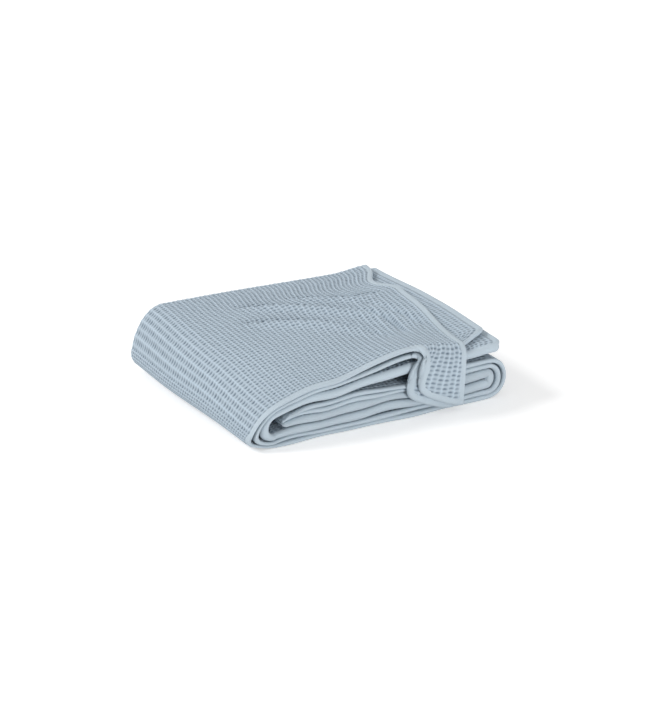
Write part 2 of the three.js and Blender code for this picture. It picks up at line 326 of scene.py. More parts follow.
# Creases of the uppermost layer: points in X and Y, depth, half-width, share of the length faded at each
# end. The two long ones run down to the arch.
CREASES = (
    (
        ((-92, 120), (-36, 92), (7, 67), (34, 45), (62, 24), (88, -2), (98, -34), (96, -80), (92, -128)),
        13.0, 5.0, 0.27,
    ),
    (
        ((-110, 60), (-66, 38), (-26, 18), (1, 4), (24, -16), (47, -51), (60, -92), (72, -122)),
        11.0, 5.0, 0.3,
    ),
    (((5, 112), (68, 80), (107, 62), (132, 62), (158, 64)), 8.0, 4.5, 0.3),
    (((104, 42), (122, 4), (132, -44), (136, -100)), 7.0, 6.0, 0.3),
)


VALLEY_FRONT = 0.8      # a valley's reach in half-widths, in front of its line and behind it
VALLEY_BACK = 1.5
RIDGE = 0.55            # height of the ridge in front of a valley, as a share of its depth
RIDGE_FRONT = 2.8       # its reach in half-widths, to the front and back to the valley
RIDGE_BACK = 0.9


def creases(x, y):
    """Height of the creases: each one is a valley with a ridge along its front."""
    total = np.zeros(np.shape(x))
    for points, depth, width, fade in CREASES:
        across, at = along_line(x, y, points)
        taper = smooth(at / fade) * smooth((1 - at) / fade)
        valley = -np.exp(-(across / np.where(across > 0, VALLEY_BACK * width, VALLEY_FRONT * width)) ** 2)
        crest = across + VALLEY_BACK * width
        ridge = RIDGE * np.exp(-(crest / np.where(crest > 0, RIDGE_BACK * width, RIDGE_FRONT * width)) ** 2)
        total = total + depth * taper * (valley + ridge)
    return total


# How the uppermost layer's free end leaves its slanting line: how far to the right, and where and over
# what half-width, as shares of the depth.
END_BENDS = ((-17.0, 0.775, 0.15), (3.0, 0.64, 0.1), (8.0, 0.42, 0.4))
END_SLANT = 1.3         # how far past the back the slant would go on, as a share of the depth
END_BACK = 3.0          # how far the ends of layers 1 and 2 stop short of the frame's


def end_of_layer(layer, y):
    """X of the free right-hand end of the top third's layer."""
    share = np.clip((y - FRONT) / DEPTH, 0.0, 1.0)
    if layer == 1:
        slant = smooth(share / END_SLANT) / smooth(1 / END_SLANT)
        bends = sum(right * hump(share, at, half) for right, at, half in END_BENDS)
        return mix(CORNER_RIGHT + 2.0, UPPER_END_BACK - END_BACK, slant) + bends
    if layer == 2:
        return mix(CORNER_RIGHT, SECOND_END - END_BACK, smooth(share / 0.13))
    return LOWER_END - 10.0 * (1 - smooth(share / 0.06)) ** 2


def place(x, y, z, lift):
    """Settles unsettled points. lift is 1 for the uppermost layer and less for those below it."""
    creased = np.interp(lift, [0.0, *LIFTS[::-1]], CREASED)
    loose = np.minimum(lift / LIFTS[3], 1.0) * RIGHT_LIFT * ramp(x, 130.0, 70.0)
    raised = z * settle(x, y) + lift * arch(x, y) + loose
    raised = raised + creased * (creases(x, y) + CREASE_ROOM * crease_room(x, y))
    if np.max(lift) == 0:
        under_arch = hump(x, 75.0, 110.0) * hump(y, FRONT, 110.0)
        raised = raised - MIDDLE_DIP * under_arch * ramp(z, 30.0, 32.0)
    across = x + left_shift(x, y) + RIGHT_REACH * ramp(x, 185.0, 30.0)
    return across, y, raised + sag(x, y, raised)


def sag(x, y, z):
    """Each layer dips and rises a little along the front, less at the floor and at the top."""
    between = np.clip(z / STACK, 0.0, 1.0)
    between = 4 * between * (1 - between)
    front = 1 - 0.7 * ramp(y, FRONT, 90.0)
    wander = 1.5 * np.sin(x / 29.0 + z / 26.0) + 0.9 * np.sin(x / 13.0 - z / 17.0 + 1.0)
    return between * front * wander


def crease_room(x, y):
    """Where there is air under the uppermost layer, so that its creases have room."""
    return hump(x, 20.0, 190.0) * hump(y, 40.0, 150.0)


# ---- the weave ----

PIT_ACROSS = 0.5    # the higher, the narrower the pits are between the ribs
PIT_ALONG = 1.45    # and between the rows
ROW_JITTER = 0.13   # how far the pits between two ribs are out of line with the next, as a share of a row
RIB_SHARE = 0.4     # how high the ribs stand, as a share of the pits' depth
RIB_UNEVEN = 0.3    # how much one rib differs from the next
PIT_UNEVEN = 0.28   # how much one pit differs from the next


def weave(u, v, cloth):
    """Height of the ladder weave above the cloth's mean surface, in millimetres; u and v in millimetres."""
    across = u * MM / cloth.rib_pitch
    column = np.floor(across + 0.5)
    gap = np.floor(across)
    along = v * MM / cloth.row_pitch + ROW_JITTER * np.sin(2.3 * gap)
    rib = 0.5 + 0.5 * np.cos(2 * math.pi * across)
    row = 0.5 - 0.5 * np.cos(2 * math.pi * along)
    line = np.floor(along)
    uneven = 0.5 * np.sin(1.7 * gap + 2.9 * line) + 0.5 * np.cos(2.3 * gap - 1.3 * line)
    strong = 1 + PIT_UNEVEN * uneven
    rib = rib * (1 + RIB_UNEVEN * np.cos(math.pi * column))
    pit = np.abs(np.sin(math.pi * across)) ** (2 * PIT_ACROSS) * row ** PIT_ALONG * strong
    return cloth.relief / MM * (RIB_SHARE * rib - pit + 0.3)


# ---- rows of a sheet: lines across the section, from one edge of the cloth to the other ----

FAR = 1e3           # a distance from an edge that has no effect
STRETCHED = 5.0     # one inside the hem's width: a front fold's weave is stretched plain, like the hem
SEAM = 8.0          # how far behind the front edge the hanging corner starts


def spread(length, step, far_step, dense=30.0):
    """Distances along a run: step apart within dense of its start, and far_step apart beyond."""
    dense = min(dense, length)
    near = np.linspace(0, dense, max(1, round(dense / step)) + 1)
    far = np.linspace(dense, length, max(1, round((length - dense) / far_step)) + 1)
    return np.concatenate([near, far[1:]]) if length > dense else near


def run_rows(offset, y_from, y_to, face, steps, lift, edge_radius=None, back_to_front=False):
    """A flat run of cloth; face is +1 where the sheet's outer side looks outwards."""
    length = abs(y_to - y_from)
    distance = spread(length, *steps)
    if back_to_front:
        distance = length - distance[::-1]
    if edge_radius:
        rounding = edge_steps(edge_radius)
        distance = np.concatenate([rounding, distance[distance > edge_radius + 0.4 * steps[0]]])
    full = np.ones_like(distance)
    return {
        "offset": offset * full,
        "y": y_from + math.copysign(1, y_to - y_from) * distance,
        "out": face * full,
        "back": 0 * full,
        "length": distance,
        "edge": distance if edge_radius else FAR * full,
        "lift": lift * full,
    }


def turn_rows(centre, centre_y, radius, way, step, lift_from, lift_to):
    """Half a turn of cloth about a centre; way is +1 round the back and -1 round the front."""
    angle = np.linspace(0, math.pi, max(6, round(math.pi * radius / step)) + 1)
    return {
        "offset": centre + radius * np.cos(angle),
        "y": centre_y + way * radius * np.sin(angle),
        "out": np.cos(angle),
        "back": way * np.sin(angle),
        "length": angle * radius,
        "edge": FAR * np.ones_like(angle),
        "lift": mix(lift_from, lift_to, smooth(angle / math.pi)),
    }


def join_rows(*parts):
    """The rows of several stretches as one, with their lengths added up."""
    joined = {key: part.copy() for key, part in parts[0].items()}
    for part in parts[1:]:
        start = joined["length"][-1]
        for key in joined:
            more = part[key][1:] + (start if key == "length" else 0)
            joined[key] = np.concatenate([joined[key], more])
    return joined


# ---- meshes ----

def face_normals(points):
    """Unit normals of a grid of points."""
    along = np.gradient(points, axis=0)
    across = np.gradient(points, axis=1)
    normal = np.cross(along, across)
    size = np.linalg.norm(normal, axis=2, keepdims=True)
    return normal / np.maximum(size, 1e-9)


def rim_edges(keep):
    """Directed edges of the kept cells of a grid that no other kept cell shares, as vertex indices."""
    padded = np.pad(keep, 1)
    width = keep.shape[1] + 1
    i, j = np.nonzero(keep)
    corner = i * width + j
    sides = (
        (padded[i + 1, j], corner, corner + width),
        (padded[i, j + 1], corner + 1, corner),
        (padded[i + 1, j + 2], corner + width + 1, corner + 1),
        (padded[i + 2, j + 1], corner + width, corner + width + 1),
    )
    return np.concatenate([np.stack([a[~shared], b[~shared]], axis=1) for shared, a, b in sides])


def closed_sheet(name, grid, hem_width, keep=None, joined=()):
    """A closed mesh from the two sides of a sheet. The joined sides of its grid meet another sheet,
    so the shading doesn't turn over there."""
    outer, inner = grid.outer, grid.inner
    rows, columns = outer.shape[:2]
    if keep is None:
        keep = np.ones((rows - 1, columns - 1), bool)
    i, j = np.nonzero(keep)
    corner = i * columns + j
    quads = np.stack([corner, corner + columns, corner + columns + 1, corner + 1], axis=1)
    below = rows * columns
    rim = rim_edges(keep)
    sides = np.zeros((rows, columns), bool)
    lines = {"start": np.s_[0], "end": np.s_[-1], "front": np.s_[:, 0], "seam": np.s_[:, grid.seam]}
    for side in joined:
        sides[lines[side]] = True
    on_side = sides.ravel()[rim].all(axis=1)
    sharp = np.concatenate([rim[on_side], rim[on_side] + below])
    walls = np.stack([rim[:, 1], rim[:, 0], rim[:, 0] + below, rim[:, 1] + below], axis=1)
    faces = np.concatenate([quads, quads[:, ::-1] + below, walls])
    middle = (outer[:-1, :-1] - inner[:-1, :-1])[keep]
    turned = np.einsum("ij,ij->i", face_normals(outer)[:-1, :-1][keep], middle)
    if turned.sum() < 0:
        faces = faces[:, ::-1]
    points = np.concatenate([outer.reshape(-1, 3), inner.reshape(-1, 3)]) * MM
    uv = np.tile(grid.uv.reshape(-1, 2), (2, 1))
    edge = np.tile(grid.edge.ravel(), 2)
    hem = edge[faces].mean(axis=1) < hem_width
    used, index = np.unique(faces, return_inverse=True)
    sharp = np.searchsorted(used, sharp)
    return mesh_object(name, points[used], index.reshape(-1, 4), uv[used], hem, sharp)


def mesh_object(name, points, faces, uv, hem, sharp):
    """A smooth mesh with some sharp edges. Its faces take the second material where hem is true."""
    mesh = bpy.data.meshes.new(name)
    mesh.vertices.add(len(points))
    mesh.vertices.foreach_set("co", points.astype(np.float32).ravel())
    mesh.loops.add(faces.size)
    mesh.loops.foreach_set("vertex_index", faces.astype(np.int32).ravel())
    mesh.polygons.add(len(faces))
    mesh.polygons.foreach_set("loop_start", np.arange(0, faces.size, faces.shape[1], dtype=np.int32))
    mesh.polygons.foreach_set("use_smooth", np.ones(len(faces), bool))
    mesh.polygons.foreach_set("material_index", hem.astype(np.int32))
    layer = mesh.uv_layers.new(name="cloth")
    layer.uv.foreach_set("vector", (uv[faces.ravel()] * MM).astype(np.float32).ravel())
    mesh.update(calc_edges=True)
    if len(sharp):
        ends = np.empty(len(mesh.edges) * 2, np.int32)
        mesh.edges.foreach_get("vertices", ends)
        keys = np.sort(ends.reshape(-1, 2), axis=1) @ np.array([len(points), 1])
        wanted = np.sort(sharp, axis=1) @ np.array([len(points), 1])
        marks = mesh.attributes.new("sharp_edge", "BOOLEAN", "EDGE")
        marks.data.foreach_set("value", np.isin(keys, wanted))
    mesh.validate()
    return add_object(name, mesh)


def add_object(name, data):
    obj = bpy.data.objects.new(name, data)
    bpy.context.scene.collection.objects.link(obj)
    return obj


def cloth_coordinate(bundle, station, offset, end_x):
    """How far along the cloth a station lies, from the top third's free end, in millimetres."""
    lengths = [np.full(np.shape(offset), 1.0) * v for v in leg_lengths(bundle, offset, end_x)]
    total = np.zeros(np.broadcast_shapes(np.shape(station), np.shape(offset)))
    for leg, length in enumerate(lengths):
        total = total + np.clip(station - leg, 0.0, 1.0) * length
    return total


def edge_wave(x, y, layer):
    """A front edge isn't quite straight: how far it wanders in Y, fading towards the back."""
    fade = 1 - ramp(y, FRONT, 50.0)
    wander = np.sin(x / 37.0 + 1.9 * layer) + 0.6 * np.sin(x / 17.0 + 2.7 * layer)
    return (1.0 if layer == 1 else 1.7) * wander * fade


class Grid:
    """Both sides of a stretch of cloth as grids of points, its cloth coordinates, how far its edge is,
    and the column at which its hanging corner starts."""

    def __init__(self, outer, inner, uv, edge, seam=0):
        self.outer, self.inner = outer, inner
        self.uv, self.edge, self.seam = uv, edge, seam


def outward(side, other):
    """Normals of one side of a sheet, away from its other side."""
    direction = face_normals(side)
    if np.einsum("ijk,ijk->", direction, side - other) < 0:
        direction = -direction
    return direction


def fineness(length, axis):
    """1 where the points lie close enough to carry the weave's relief, and 0 where they don't."""
    return 1 - ramp(np.abs(np.gradient(length, axis=axis)), 1.5, 1.8)


HEM_ROLL = 0.45         # how far the hem stands up in its middle
HEM_GROOVE = 0.9        # how deep the seam presses in beside it


def raise_weave(grid, bundle, share):
    """Adds the weave and the hem's roll to both sides of a sheet."""
    hem = bundle.hem
    u, v = grid.uv[:, :, 0], grid.uv[:, :, 1]
    body = ramp(grid.edge, hem, 2.5)
    roll = HEM_ROLL * hump(grid.edge, hem / 2, hem / 2)
    groove = HEM_GROOVE * np.exp(-(grid.edge - hem) ** 2)
    close = fineness(u, 0) * fineness(v, 1)
    height = (roll - groove + weave(u, v, bundle.cloth) * body * close) * share
    outer, inner = grid.outer, grid.inner
    grid.outer = outer + outward(outer, inner) * height[:, :, None]
    grid.inner = inner + outward(inner, outer) * height[:, :, None]
    return grid


def sheet_grid(bundle, layer, at, rows, free_end):
    """A stretch of a layer, 1 to 4 in the top third and 5 to 8 below it, up to its free end.
    Layers 1 and 2 have a hanging corner, so their front edge ends at the left of that corner."""
    station = at[:, None]
    offset, y, out, back = (rows[key][None, :] for key in ("offset", "y", "out", "back"))
    lengths = leg_lengths(bundle, 0.0, end_of_layer(layer, y))
    edge = np.broadcast_to(rows["edge"][None, :], (len(at), len(rows["y"]))).copy()
    if layer in (1, 2):
        edge = np.where(station < arch_station(layer), edge + hanging_length(layer, station), edge)
    share = edge_share(edge, bundle.thick / 2)
    away = np.abs(station - free_end) * lengths[min(free_end, MIDDLE)] + 0 * y
    share = share * edge_share(away, bundle.thick / 2)
    edge = np.minimum(edge, away)
    half = bundle.thick / 2 * share
    u = cloth_coordinate(bundle, station, offset, end_reference(layer))
    v = rows["length"][None, :] + 0 * u
    sides = []
    for side in (1, -1):
        at_offset = offset + side * half * out
        at_y = y + side * half * back + 0 * station
        end_x = end_of_layer(layer, at_y) + 0 * at_offset
        x, z = section(bundle, station + 0 * at_y, at_offset, end_x)
        at_y = at_y + edge_wave(x, at_y, layer)
        x, at_y, z = place(x, at_y, z, rows["lift"][None, :])
        sides.append(np.stack([x, at_y, z], axis=2))
    seam = int(np.argmin(np.abs(rows["y"] - FRONT - SEAM)))
    grid = Grid(*sides, np.stack([u, v], axis=2), edge, seam)
    return raise_weave(grid, bundle, share)


# ---- the hanging corner ----

LOWEST = 4.2        # how near to the floor the middle of the corner's hem comes
CORNER_ROWS = 64    # rows of points from the seam to the hem, closer together at the hem
CORNER_WAVE = 1.6   # how far the hanging cloth waves in Y
HEM_BOW = 4.0       # how far its hem bows to the right

# How each layer's corner hangs: how far in front of the front edge, how far it reaches before it
# turns down, and how far its hem is moved in X and Z from the upper layer's.
CORNER_LAY = {1: (12.0, 17.0, 0.0, 0.0), 2: (4.5, 9.0, -15.0, -3.0)}

# The hem of the hanging corner, from the arch down to its lowest point: X from the corner's left side and
# Z from the floor, in millimetres.
HEM_PATH = (
    (-5, 106), (3, 105), (10, 100), (13, 92), (11, 82), (6, 72), (2, 62), (0, 52), (2, 43),
    (12, 34), (26, 26), (42, 18), (58, 11.5), (71, 8), (79, 7.5),
)


def arch_station(layer):
    """The station at which the front edge reaches the arch."""
    end = float(end_of_layer(layer, FRONT))
    return (end - ARCH_CREST) / (end - LEFT_X)


def hanging_length(layer, station):
    """About how far the hem of the hanging corner is from its seam, measured square to the hem."""
    return 80.0 * np.clip(1 - station / arch_station(layer), 0.0, 1.0) ** 0.8


def hem_points(top_z, depth, shift_x, shift_z):
    """The hanging hem as close points, with its top at top_z, and how far along it each one lies."""
    path = np.array(HEM_PATH, float)
    z = path[:, 1] * (top_z / path[0, 1])
    below = top_z - z
    x = CORNER_LEFT + path[:, 0] + shift_x * smooth(below / 20.0)
    y = FRONT - depth * smooth((below - shift_z * smooth(below / 20.0)) / 14.0)
    z = np.maximum(z + shift_z * smooth(below / 20.0), LOWEST)
    fine = np.linspace(0, len(path) - 1, 400)
    dense = np.stack([np.interp(fine, np.arange(len(path)), c) for c in (x, y, z)], axis=1)
    kernel = np.ones(25) / 25
    padded = np.pad(dense, ((12, 12), (0, 0)), mode="reflect", reflect_type="odd")
    dense = np.stack([np.convolve(padded[:, c], kernel, mode="valid") for c in range(3)], axis=1)
    run = np.concatenate([[0], np.cumsum(np.linalg.norm(np.diff(dense, axis=0), axis=1))])
    return run, dense


def distance_from(points, line):
    """How far each point is from a line of points."""
    near = np.full(len(points), 1e9)
    for a, b in zip(line, line[1:]):
        d = b - a
        s = np.clip(((points - a) @ d) / max(float(d @ d), 1e-9), 0, 1)
        near = np.minimum(near, np.linalg.norm(points - a - s[:, None] * d, axis=1))
    return near


def corner_middle(top, hem, over):
    """The hanging cloth's middle surface: curves that leave the seam forwards and come down to the hem."""
    drop = np.linalg.norm(top - hem, axis=1)[:, None]
    t = (1 - (1 - np.linspace(0, 1, CORNER_ROWS)) ** 1.25)[None, :, None]
    bend = np.minimum(over, 0.55 * drop)
    lean = smooth(drop / 40.0)
    p1 = top + bend * np.array([0, -1.0, 0.12])
    p2 = hem + lean * (0.42 * drop) * np.array([0.0, -0.10, 1.0]) + (1 - lean) * (top - hem) * 0.34
    p0, p1, p2, p3 = (p[:, None, :] for p in (top, p1, p2, hem))
    middle = (1 - t) ** 3 * p0 + 3 * (1 - t) ** 2 * t * p1 + 3 * (1 - t) * t ** 2 * p2 + t ** 3 * p3
    return middle, drop, t[:, :, 0]


def corner_grid(bundle, main, at, lay):
    """The hanging corner of one layer. It starts at the main grid's seam, along its first stations."""
    depth, over, shift_x, shift_z = lay
    first = len(at)
    seam_outer = main.outer[:first, main.seam]
    seam_inner = main.inner[:first, main.seam]
    top = (seam_outer + seam_inner) / 2
    half_seam = (seam_outer - seam_inner) / 2
    share = 1 - at / at[-1]
    arch_top = (main.outer[first - 1, 0] + main.inner[first - 1, 0]) / 2
    run, path = hem_points(arch_top[2], depth, shift_x, shift_z)
    wanted = share * run[-1]
    hem = np.stack([np.interp(wanted, run, path[:, c]) for c in range(3)], axis=1)
    start = 1 - smooth(share / 0.06)
    hem = hem + (arch_top - hem[-1]) * start[:, None]
    hem[:, 0] += HEM_BOW * share ** 2 - HEM_BOW * share ** 6
    middle, drop, t = corner_middle(top, hem, over)
    wave = CORNER_WAVE * smooth(drop / 60.0) * np.sin(math.pi * t)
    middle[:, :, 1] -= wave * np.sin(9.0 * share[:, None] + 2.0 * t)
    length = np.concatenate([
        np.zeros((first, 1)),
        np.cumsum(np.linalg.norm(np.diff(middle, axis=1), axis=2), axis=1),
    ], axis=1)
    v = main.uv[:first, main.seam, 1][:, None] - length
    u = main.uv[:first, main.seam, 0][:, None] + 0 * v
    uv = np.stack([u, v], axis=2)
    edge = distance_from(middle.reshape(-1, 3), hem[:: max(1, first // 60)]).reshape(v.shape)
    edge[:, -1] = 0.0
    side = np.linalg.norm(middle - middle[:1], axis=2)
    thickness = edge_share(edge, bundle.thick / 2) * edge_share(side, bundle.thick / 2)
    edge = np.minimum(edge, side)
    direction = face_normals(middle)
    if direction[first // 2, 40, 1] > 0:
        direction = -direction
    joint = smooth(length / 14.0)[:, :, None]
    half = mix(half_seam[:, None, :], direction * (bundle.thick / 2 * thickness)[:, :, None], joint)
    return raise_weave(Grid(middle + half, middle - half, uv, edge), bundle, thickness * joint[:, :, 0])


# ---- materials ----

def feed(tree, socket, value):
    """Gives a socket a constant, or links another node's output to it."""
    if isinstance(value, bpy.types.NodeSocket):
        tree.links.new(value, socket)
    else:
        socket.default_value = value


def add_node(tree, kind, **inputs):
    node = tree.nodes.new("ShaderNode" + kind)
    for name, value in inputs.items():
        feed(tree, node.inputs[name], value)
    return node


def calc(tree, operation, *values):
    """A Math node; each value is a socket or a number."""
    node = add_node(tree, "Math")
    node.operation = operation
    for socket, value in zip(node.inputs, values):
        feed(tree, socket, value)
    return node.outputs[0]


def noise(tree, vector, scale, detail):
    return add_node(tree, "TexNoise", Vector=vector, Scale=scale, Detail=detail).outputs["Fac"]


def mix_colours(tree, factor, a, b):
    node = add_node(tree, "Mix", Factor=factor)
    node.data_type = "RGBA"
    for key, value in (("A", a), ("B", b)):
        feed(tree, next(s for s in node.inputs if s.name == key and s.type == "RGBA"), value)
    return next(s for s in node.outputs if s.type == "RGBA")


def dyed(colour, level):
    return tuple(min(1.0, c * level) for c in colour[:3]) + (1.0,)


PIT_SHADE = 0.82    # how much of the painted shade in the pits shows at full depth
HEM_RIB = 2.2 * MM
YARN = 1.7 * MM     # spacing of the twisted threads


def dyed_body_and_highlight(tree, colour, dye, darker, *layers):
    """The cloth's colour, uneven as the dye took, with each layer's factor and level mixed over it: random
    yarn and fuzz tone, and in the weave a painted highlight on the ribs.
    """
    body = mix_colours(tree, dye, dyed(colour, darker), dyed(colour, 1.06))
    for factor, level in layers:
        body = mix_colours(tree, factor, body, dyed(colour, level))
    return body


def cloth_shader(name, roughness):
    """A material with a cloth shader, its node tree and shader, and the cloth's coordinates."""
    material = bpy.data.materials.new(name)
    material.use_nodes = True
    tree = material.node_tree
    shader = tree.nodes["Principled BSDF"]
    shader.inputs["Roughness"].default_value = roughness
    shader.inputs["Specular IOR Level"].default_value = 0.12
    shader.inputs["Sheen Weight"].default_value = 0.12
    shader.inputs["Sheen Roughness"].default_value = 0.55
    uv = add_node(tree, "UVMap")
    uv.uv_map = "cloth"
    parts = add_node(tree, "SeparateXYZ", Vector=uv.outputs["UV"])
    return material, tree, shader, (uv.outputs["UV"], *parts.outputs[:2])


def finish_shader(tree, shader, colour, height, strength, distance):
    """Gives a shader its colour and a bump of a height."""
    bump = add_node(tree, "Bump", Strength=strength, Distance=distance, Height=height)
    feed(tree, shader.inputs["Base Color"], colour)
    feed(tree, shader.inputs["Normal"], bump.outputs[0])


def woven_material(cloth, colours):
    """The ladder weave: its ribs and pits lie where weave() puts them, with fuzz and uneven dye, a painted
    highlight on the ribs and painted shade in the pits.
    """
    material, tree, shader, (uv, cloth_u, cloth_v) = cloth_shader("ladder_weave", 0.92)
    maths = functools.partial(calc, tree)
    across = maths("DIVIDE", cloth_u, cloth.rib_pitch)
    turn = 2 * math.pi
    gap = maths("FLOOR", across)
    out_of_line = maths("SINE", maths("MULTIPLY", gap, 2.3))
    along = maths("DIVIDE", cloth_v, cloth.row_pitch)
    along = maths("MULTIPLY_ADD", out_of_line, ROW_JITTER, along)
    rib = maths("MULTIPLY_ADD", maths("COSINE", maths("MULTIPLY", across, turn)), 0.5, 0.5)
    row = maths("MULTIPLY_ADD", maths("COSINE", maths("MULTIPLY", along, turn)), -0.5, 0.5)
    column = maths("FLOOR", maths("ADD", across, 0.5))
    line = maths("FLOOR", along)
    first = maths("MULTIPLY_ADD", gap, 1.7, maths("MULTIPLY", line, 2.9))
    second = maths("MULTIPLY_ADD", gap, 2.3, maths("MULTIPLY", line, -1.3))
    uneven = maths("ADD", maths("SINE", first), maths("COSINE", second))
    strong = maths("MULTIPLY_ADD", uneven, PIT_UNEVEN / 2, 1.0)
    pair = maths("COSINE", maths("MULTIPLY", column, math.pi))
    open_part = maths("POWER", maths("SUBTRACT", 1.0, rib), PIT_ACROSS)
    pit = maths("MULTIPLY", maths("MULTIPLY", open_part, maths("POWER", row, PIT_ALONG)), strong)
    rib = maths("MULTIPLY", rib, maths("MULTIPLY_ADD", pair, RIB_UNEVEN, 1.0))
    high = maths("MULTIPLY", rib, RIB_SHARE)
    yarn = noise(tree, uv, 420.0, 3.0)
    fuzz = noise(tree, uv, 1500.0, 2.0)
    # Painted highlight: the layer (high, 1.3) lightens the ribs where they stand highest, as if lit on
    # their tops.
    body = dyed_body_and_highlight(
        tree, colours.cloth, noise(tree, uv, 9.0, 3.0), 0.95,
        (maths("MULTIPLY", yarn, 0.5), 1.18), (maths("MULTIPLY", fuzz, 0.45), 0.84), (high, 1.3),
    )
    # Painted shade: the pits are darkened towards the pit shade colour, the more the deeper they are.
    pit_painted_shade = maths("MINIMUM", maths("MULTIPLY", pit, PIT_SHADE), 0.95)
    colour = mix_colours(tree, pit_painted_shade, body, dyed(colours.pit_painted_shade, 1.0))
    twist = maths("ADD", cloth_u, maths("MULTIPLY", cloth_v, 0.8))
    twist = maths("ADD", twist, maths("MULTIPLY", yarn, 1.5 * YARN))
    threads = maths("COSINE", maths("MULTIPLY", twist, turn / YARN))
    rough = maths("MULTIPLY_ADD", yarn, 0.35, maths("MULTIPLY", fuzz, 0.5))
    rough = maths("MULTIPLY_ADD", threads, 0.09, rough)
    height = maths("ADD", maths("SUBTRACT", high, pit), rough)
    finish_shader(tree, shader, colour, height, 0.45, cloth.relief)
    return material


def hem_material(colours):
    """The hem's plain tape of close fine ribs, a little lighter than the body of the cloth."""
    material, tree, shader, (uv, *cloth_uv) = cloth_shader("hem_tape", 0.88)
    maths = functools.partial(calc, tree)
    fine = 2 * math.pi / HEM_RIB
    ribs = maths("MULTIPLY", *(maths("COSINE", maths("MULTIPLY", along, fine)) for along in cloth_uv))
    yarn = noise(tree, uv, 700.0, 3.0)
    fuzz = noise(tree, uv, 1500.0, 2.0)
    body = dyed_body_and_highlight(
        tree, colours.hem, noise(tree, uv, 30.0, 3.0), 0.94,
        (maths("MULTIPLY", yarn, 0.5), 1.3), (maths("MULTIPLY", fuzz, 0.5), 0.72),
    )
    finish_shader(tree, shader, body, maths("MULTIPLY_ADD", ribs, 0.4, yarn), 0.6, 0.7 * MM)
    return material


# ---- what a user can change ----

class BlanketCloth(bpy.types.PropertyGroup):
    thickness: FloatProperty(
        name="Thickness", description="How thick one layer of the cloth is, with its loft",
        default=0.0062, min=0.004, max=0.0069, unit="LENGTH",
    )
    rib_pitch: FloatProperty(
        name="Rib pitch", description="Distance from one rib of the weave to the next",
        default=0.0077, min=0.004, max=0.02, unit="LENGTH",
    )
    row_pitch: FloatProperty(
        name="Row pitch", description="Distance from one row of pits to the next",
        default=0.0065, min=0.004, max=0.02, unit="LENGTH",
    )
    relief: FloatProperty(
        name="Relief", description="How deep the pits of the weave are",
        default=0.0013, min=0.0, max=0.002, unit="LENGTH",
    )
    hem_width: FloatProperty(
        name="Hem width", description="Width of the plain hem round the cloth",
        default=0.010, min=0.004, max=0.02, unit="LENGTH",
    )


class BlanketColours(bpy.types.PropertyGroup):
    cloth: FloatVectorProperty(
        name="Cloth", description="Colour of the woven cloth",
        default=(0.43, 0.512, 0.585), size=3, min=0.0, max=1.0, subtype="COLOR",
    )
    # Painted shade: the colour that the weave's pits are darkened towards, standing in for the shade that
    # falls in them.
    pit_painted_shade: FloatVectorProperty(
        name="Pits", description="Colour deep in the pits of the weave",
        default=(0.15, 0.20, 0.255), size=3, min=0.0, max=1.0, subtype="COLOR",
    )
    hem: FloatVectorProperty(
        name="Hem", description="Colour of the hem",
        default=(0.505, 0.592, 0.66), size=3, min=0.0, max=1.0, subtype="COLOR",
    )


# ---- the pieces ----

FINE = 1.6      # spacing of the points of a surface seen close to, in millimetres
MEDIUM = 2.0
LOOSER = 3.0
COARSE = 6.0


def settings(context):
    return context.scene.blanket_cloth, context.scene.blanket_colours


def blend_left_fold(obj):
    """Bakes the sheet's transform into its mesh."""
    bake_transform(obj)


def materials_for(context):
    cloth, colours = settings(context)
    known = bpy.data.materials
    woven = known.get("ladder_weave") or woven_material(cloth, colours)
    hem = known.get("hem_tape") or hem_material(colours)
    return woven, hem


def finish_piece(context, obj, nodes):
    """Gives a sheet its materials and hides the CAD nodes it stands for."""
    for material in materials_for(context):
        obj.data.materials.append(material)
    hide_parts(*nodes)


def hemmed_rows(bundle, layer, steps, lift):
    """Layer 1 or 2 from its front edge to the back, and round the back to layer 4 or 3."""
    outer, inner = bundle.layer[layer - 1], bundle.layer[4 - layer]
    lift_from, lift_to = LIFTS[layer - 1] * lift, LIFTS[4 - layer] * lift
    centre = (outer + inner) / 2
    run = run_rows(outer, FRONT, bundle.back_centre, 1, steps, lift_from, edge_radius=bundle.thick / 2)
    turn = turn_rows(centre, bundle.back_centre, outer - centre, 1, steps[0], lift_from, lift_to)
    return join_rows(run, turn)


def doubled_rows(bundle, steps, lift):
    """Layer 3 from the back to the front, round the front, and layer 4 to the back again."""
    layers = bundle.layer
    radius = (layers[2] - layers[3]) / 2
    centre = (layers[2] + layers[3]) / 2
    front = FRONT + radius + bundle.thick / 2
    back = bundle.back_centre
    third = run_rows(layers[2], back, front, 1, steps, LIFTS[2] * lift, back_to_front=True)
    turn = turn_rows(centre, front, radius, -1, steps[0] / 2, LIFTS[2] * lift, LIFTS[3] * lift)
    turn["edge"] = STRETCHED * np.ones_like(turn["edge"])
    fourth = run_rows(layers[3], front, back, -1, steps, LIFTS[3] * lift)
    return join_rows(third, turn, fourth)


def layer_nodes(third, layers):
    names = [f"{third}_layer_{n}" for n in layers]
    if not third.endswith("_fold"):
        if 1 in layers or 2 in layers:
            names += [f"{third}_front_hem_layer_{n}" for n in layers]
            names.append(f"{third}_back_fold_{'outer' if 1 in layers else 'inner'}")
        else:
            names.append(f"{third}_front_fold")
        if third != "bottom_third":
            names += [f"{third}_end_hem_layer_{n}" for n in layers]
    return names


def make_sheet(context, bundle, kind, layers, grid, keep, joined, places):
    """A sheet for one or two layers of the places named, folded as its grid lies."""
    name = "_".join([kind, *map(str, layers)])
    sheet = closed_sheet(name, grid, bundle.hem, keep, joined)
    finish_piece(context, sheet, [node for third in places for node in layer_nodes(third, layers)])
    return sheet


